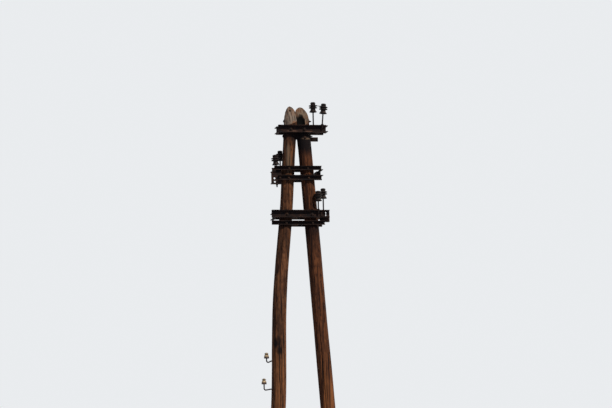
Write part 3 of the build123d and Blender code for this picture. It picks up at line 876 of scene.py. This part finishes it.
# %% Turn the pin insulators
insulator_profile = [
    (0.0000, 0.1655), (0.0120, 0.1655), (0.0220, 0.1645), (0.0310, 0.1615), (0.0375, 0.1570),
    (0.0410, 0.1500), (0.0415, 0.1440), (0.0400, 0.1390), (0.0360, 0.1360), (0.0345, 0.1310),
    (0.0350, 0.1260), (0.0385, 0.1215), (0.0440, 0.1180), (0.0560, 0.1140), (0.0650, 0.1105),
    (0.0678, 0.1075), (0.0676, 0.1010), (0.0645, 0.0985), (0.0540, 0.0990), (0.0450, 0.0975),
    (0.0415, 0.0940), (0.0415, 0.0905), (0.0450, 0.0865), (0.0560, 0.0822), (0.0650, 0.0785),
    (0.0678, 0.0755), (0.0676, 0.0690), (0.0645, 0.0665), (0.0540, 0.0670), (0.0450, 0.0655),
    (0.0400, 0.0610), (0.0385, 0.0540), (0.0400, 0.0440), (0.0445, 0.0300), (0.0525, 0.0160),
    (0.0598, 0.0080), (0.0618, 0.0045), (0.0610, 0.0015), (0.0580, 0.0000), (0.0545, 0.0015),
    (0.0480, 0.0100), (0.0380, 0.0250), (0.0340, 0.0440), (0.0270, 0.0460), (0.0265, 0.0180),
    (0.0240, 0.0140), (0.0150, 0.0140), (0.0125, 0.0160), (0.0120, 0.0480), (0.0000, 0.0490),
]
insulator_steps = 64
groove_radius = 0.0345
groove_above_middle = 0.131 - 0.166 / 2
leans = {"top_front": math.radians(5.0), "middle_front": math.radians(-5.0)}
grooves = {}
for level in ("top", "middle", "bottom"):
    for row in ("front", "back"):
        place = f"{level}_{row}"
        node_name = f"{level}_insulator_{row}"
        low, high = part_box(node_name)
        centre, tilt = (low + high) / 2, leans.get(place, 0.0)
        piece = turned(
            f"{node_name}_turned", insulator_profile, insulator_steps, [brown_glaze], centre, tilt,
        )
        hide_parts(node_name)
        rise = Matrix.Rotation(tilt, 3, "Y") @ Vector((0, 0, groove_above_middle))
        grooves[place] = centre + rise
print("grooves:", {place: tuple(round(v, 3) for v in groove) for place, groove in grooves.items()})

# %% Turn the hook insulators
reel_profile = [
    (0.0000, 0.0915), (0.0100, 0.0912), (0.0180, 0.0890), (0.0240, 0.0845), (0.0264, 0.0790),
    (0.0255, 0.0745), (0.0215, 0.0700), (0.0195, 0.0650), (0.0215, 0.0600), (0.0280, 0.0560),
    (0.0335, 0.0500), (0.0370, 0.0400), (0.0390, 0.0280), (0.0405, 0.0150), (0.0415, 0.0060),
    (0.0410, 0.0020), (0.0385, 0.0000), (0.0345, 0.0015), (0.0305, 0.0050), (0.0300, 0.0300),
    (0.0180, 0.0305), (0.0170, 0.0100), (0.0110, 0.0100), (0.0105, 0.0470), (0.0000, 0.0475),
]
reel_steps = 48
# The height band that gets the painted cream highlight.
highlight_from, highlight_to = 0.034, 0.083
for place in ("upper", "lower"):
    node_name = f"{place}_hook_insulator"
    low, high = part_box(node_name)
    piece = turned(
        f"{node_name}_turned", reel_profile, reel_steps, [cream_highlight_glaze, dark_glaze],
        centre=(low + high) / 2,
        glaze_at=lambda height: 0 if highlight_from < height < highlight_to else 1,
    )
    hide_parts(node_name)
print("hook insulators turned")

# %% [markdown]
# ## Tie wires
# A wire is tied round each groove, and a short stiff wire joins the two insulators of each
# arm. A wire here is a small ring of edges that is extruded from point to point of a path,
# and turned at each point no more than the path turns.

# %% Bend a wire
wire_sides = 10


def bent_wire(name, path, radius):
    shape = bmesh.new()
    before_and_after = zip(path[:1] + path, path[1:] + path[-1:])
    headings = [after - before for before, after in before_and_after]
    turn = Vector((0, 0, 1)).rotation_difference(headings[0])
    placed = Matrix.Translation(path[0]) @ turn.to_matrix().to_4x4()
    circle = {"cap_ends": True, "segments": wire_sides, "radius": radius}
    bmesh.ops.create_circle(shape, matrix=placed, **circle)
    rim = shape.edges[:]
    for point, heading in zip(path[1:], headings[1:]):
        turned_before = placed.to_3x3()
        turn = (turned_before @ Vector((0, 0, 1))).rotation_difference(heading)
        moved = Matrix.Translation(point) @ (turn.to_matrix() @ turned_before).to_4x4()
        rim = extrude_ring(shape, rim)
        ring = list({vertex for edge in rim for vertex in edge.verts})
        bmesh.ops.transform(shape, matrix=moved @ placed.inverted(), verts=ring)
        placed = moved
    bmesh.ops.holes_fill(shape, edges=rim)
    return new_piece(name, shape, [pin_iron])


def coil(centre, reach, start, turns, rise, points, lean=Matrix.Identity(3)):
    shares = [number / (points - 1) for number in range(points)]
    spots = []
    for share in shares:
        angle = start + share * turns * math.tau
        spot = (math.cos(angle) * reach, math.sin(angle) * reach, (share - 0.5) * rise)
        spots.append(centre + lean @ Vector(spot))
    return spots


print("wire bender ready")

# %% Tie the pin insulators
tie_wire_radius = 0.0025
tie_start, tie_turns, tie_rise, tie_points = 0.6, 2.6, 0.010, 64
for place, groove in grooves.items():
    lean = Matrix.Rotation(leans.get(place, 0.0), 3, "Y")
    reach = groove_radius + tie_wire_radius
    tie = coil(groove, reach, tie_start, tie_turns, tie_rise, tie_points, lean)
    bent_wire(f"{place}_tie", tie, tie_wire_radius)

joining_wire_radius, joining_sag, joining_steps = 0.005, 0.016, 24
for level in ("top", "middle", "bottom"):
    start, end = grooves[f"{level}_front"], grooves[f"{level}_back"]
    inset = (end - start).normalized() * groove_radius
    start, end = start + inset, end - inset
    path = []
    for number in range(joining_steps + 1):
        share = number / joining_steps
        sag = Vector((0.0, 0.0, -joining_sag * math.sin(math.pi * share)))
        path.append(start.lerp(end, share) + sag)
    bent_wire(f"{level}_joining_wire", path, joining_wire_radius)
print("ties and joining wires:", len(grooves), "and 3")

# %% [markdown]
# The wire comes to a hook insulator from the left, goes round its neck twice and leaves it
# to the right.

# %% Tie the hook insulators
neck_above_middle = 0.019
neck_reach = 0.023
hook_tie_radius = 0.0035
hook_tie_start, hook_tie_turns, hook_tie_rise, hook_tie_points = -1.9, 2.0, 0.010, 40
lead_in = [Vector((-0.040, -0.028, 0.006)), Vector((-0.020, -0.026, 0.003))]
lead_out = [Vector((0.008, -0.030, 0.006)), Vector((0.030, -0.034, 0.002))]
for place in ("upper", "lower"):
    low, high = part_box(f"{place}_hook_insulator")
    neck = (low + high) / 2 + Vector((0, 0, neck_above_middle))
    turns = coil(neck, neck_reach, hook_tie_start, hook_tie_turns, hook_tie_rise, hook_tie_points)
    path = [neck + step for step in lead_in] + turns + [neck + step for step in lead_out]
    bent_wire(f"{place}_hook_tie", path, hook_tie_radius)
print("hook insulators tied")

# %% [markdown]
# ## The packing block
# A block fills the inner spacer at the right end of the middle arms and the gap to the
# outer one, so that the bolts can pull them tight. Its edges are worn round.

# %% Fit the packing block
inner_low, inner_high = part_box("middle_spacer_inner")
outer_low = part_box("middle_spacer_outer")[0]
end_margin, edge_margin, web_thickness, bevel_width = 0.03, 0.0095, 0.007, 0.004
block_low = inner_low + Vector((web_thickness, end_margin, edge_margin))
block_high = Vector((outer_low.x, inner_high.y - end_margin, inner_high.z - edge_margin))
block_size = block_high - block_low
block = bmesh.new()
placed = Matrix.Translation((block_low + block_high) / 2) @ Matrix.Diagonal((*block_size, 1.0))
bmesh.ops.create_cube(block, size=1.0, matrix=placed)
rounding = {"affect": "EDGES", "segments": 2, "profile": 0.5, "material": -1}
bmesh.ops.bevel(block, geom=block.edges[:], offset=bevel_width, **rounding)
new_piece("packing", block, [arm_steel], smooth=False)
print("packing:", tuple(round(length, 3) for length in block_size))

# %% [markdown]
# ## The pieces that keep the frame's shape
# All other pieces stay as they are and only get their finish, by the record's slot.

# %% Finish them
finishes = {
    "timber": right_trunk,
    "arm_steel": arm_steel,
    "bolt_steel": bolt_steel,
    "pin_iron": pin_iron,
    "hook_iron": hook_iron,
    "brown_porcelain": brown_glaze,
    "cream_porcelain": cream_highlight_glaze,
}
for part in frame["record"]["subparts"]:
    materials = nodes[part["node"]].data.materials
    materials.clear()
    materials.append(finishes[part["material_slot"]])

# %% Finish the floor
floor_recipe = Recipe("pale_floor")
mottling = floor_recipe.mask(floor_recipe.noise(floor_recipe.point, 0.8), 0.3, 0.7)
floor_colour = floor_recipe.mix(mottling, (0.62, 0.62, 0.61, 1), (0.65, 0.65, 0.64, 1))
floor_mesh.materials.append(floor_recipe.finish(Base_Color=floor_colour, Roughness=0.9))
print("materials:", len(bpy.data.materials))
